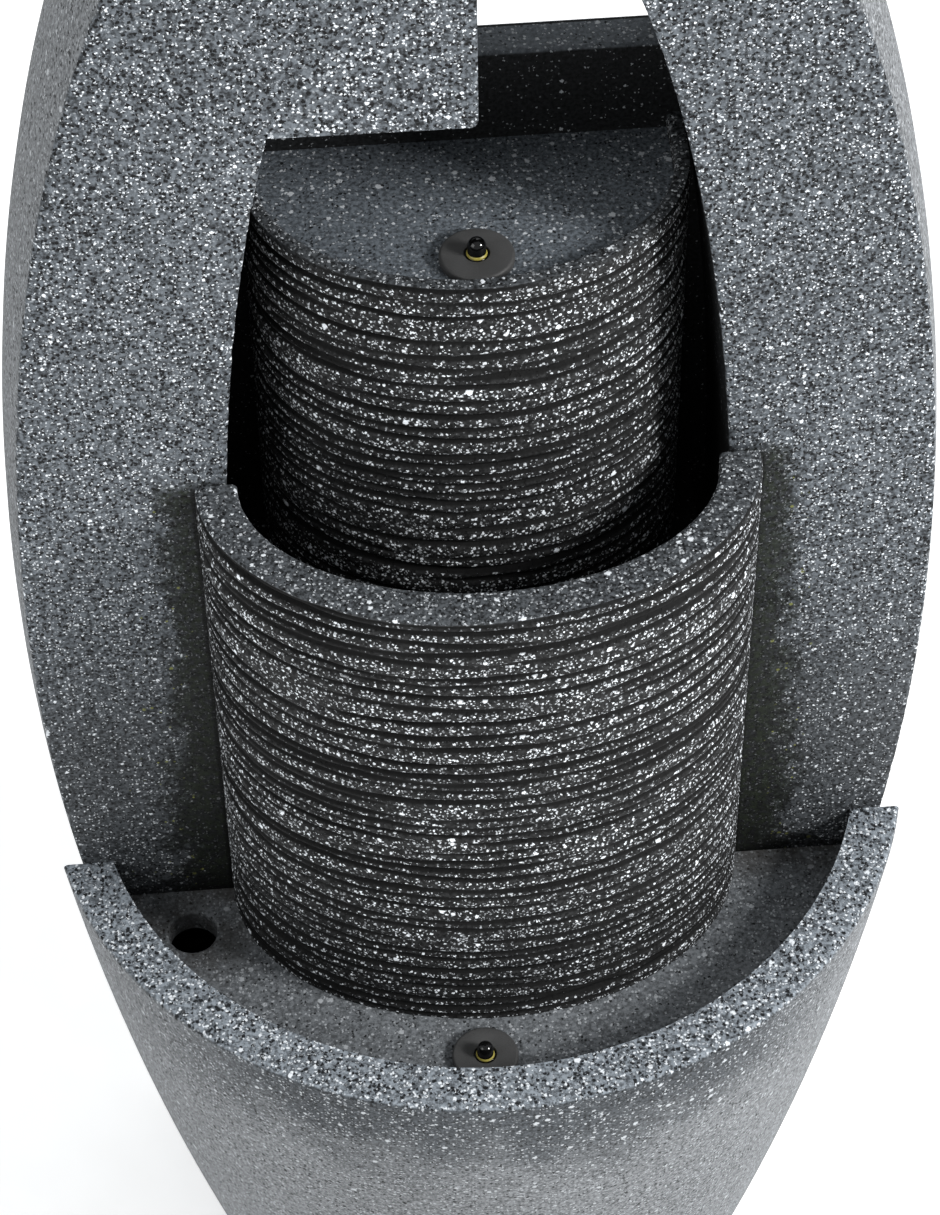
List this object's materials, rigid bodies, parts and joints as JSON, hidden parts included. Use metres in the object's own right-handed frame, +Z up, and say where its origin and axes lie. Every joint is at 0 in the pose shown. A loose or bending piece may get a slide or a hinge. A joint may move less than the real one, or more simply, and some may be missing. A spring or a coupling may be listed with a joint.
{
  "type": "tabletop water fountain",
  "caption": "Tabletop water fountain: a speckled oval tower with a window, ribbed tiers that spill into one another and a round basin, with pump, lights and rear door.",
  "frame": {"origin": "on the surface it stands on, on the vertical axis of the round base", "axes": "+Z up, the basin and the spill face -Y, +X to the viewer's right when facing the basin"},
  "size_m": [0.268, 0.1743, 0.634],
  "materials": {
    "speckled_stone": "grey stone-resin with white flecks and dark pits",
    "dark_ribbed_stone": "near-black stone-resin with rough level ribs and white flecks",
    "dark_stone": "near-black smooth stone-resin, damp, with fine white flecks",
    "black_rubber": "matte",
    "clear_bulb": "clear cast epoxy",
    "black_plastic": "moulded, satin",
    "grey_plastic": "moulded, satin",
    "clear_hose": "milky clear vinyl",
    "black_lead": "smooth sheath",
    "foam": "open-cell sponge",
    "copper_winding": "enamelled copper wire",
    "ceramic_white": "polished",
    "steel": "stainless, satin"
  },
  "bodies": {
    "fountain": {"base_shell": "speckled_stone", "basin_floor": "speckled_stone", "cable_gland": "black_plastic", "catch_magnets": "steel", "cover_screws": "steel", "gland_nut": "black_plastic", "hinge_leaf": "steel", "hinge_pin": "steel", "inlet_cage": "black_plastic", "inlet_sponge": "foam", "lead_lower_light": "black_lead", "lead_upper_light": "black_lead", "light_bulb_lower": "clear_bulb", "light_bulb_upper": "clear_bulb", "light_disc_lower": "black_rubber", "light_disc_upper": "black_rubber", "lower_pool_floor": "dark_stone", "lower_tier": "dark_ribbed_stone", "pump_body": "black_plastic", "pump_coils": "copper_winding", "pump_cover": "black_plastic", "pump_lead": "black_lead", "pump_outlet": "black_plastic", "pump_shaft": "ceramic_white", "pump_suckers": "black_rubber", "riser_hose": "clear_hose", "rubber_feet": "black_rubber", "splash_wall": "dark_stone", "spout_elbow": "black_plastic", "spout_nozzle": "black_plastic", "tower_back": "speckled_stone", "tower_shell": "speckled_stone", "upper_bowl_floor": "speckled_stone", "upper_tier": "dark_ribbed_stone", "wire_box": "black_plastic"},
    "impeller": {"pump_impeller": "grey_plastic"},
    "dial": {"flow_dial": "grey_plastic"},
    "door": {"access_door": "grey_plastic", "door_pull": "grey_plastic", "catch_plates": "steel"}
  },
  "joints": [
    {"name": "impeller_spin", "type": "hinge", "parent": "fountain", "child": "impeller", "pos_m": [-0.034, -0.002, 0.034], "axis": [0, 1, 0], "continuous": true},
    {"name": "flow_dial_turn", "type": "hinge", "parent": "fountain", "child": "dial", "pos_m": [-0.044, 0.0185, 0.034], "axis": [0, 1, 0], "range_deg": [0, 90]},
    {"name": "access_door_swing", "type": "hinge", "parent": "fountain", "child": "door", "pos_m": [-0.049, 0.0362, 0.125], "axis": [0, 0, 1], "range_deg": [0, 110]}
  ]
}
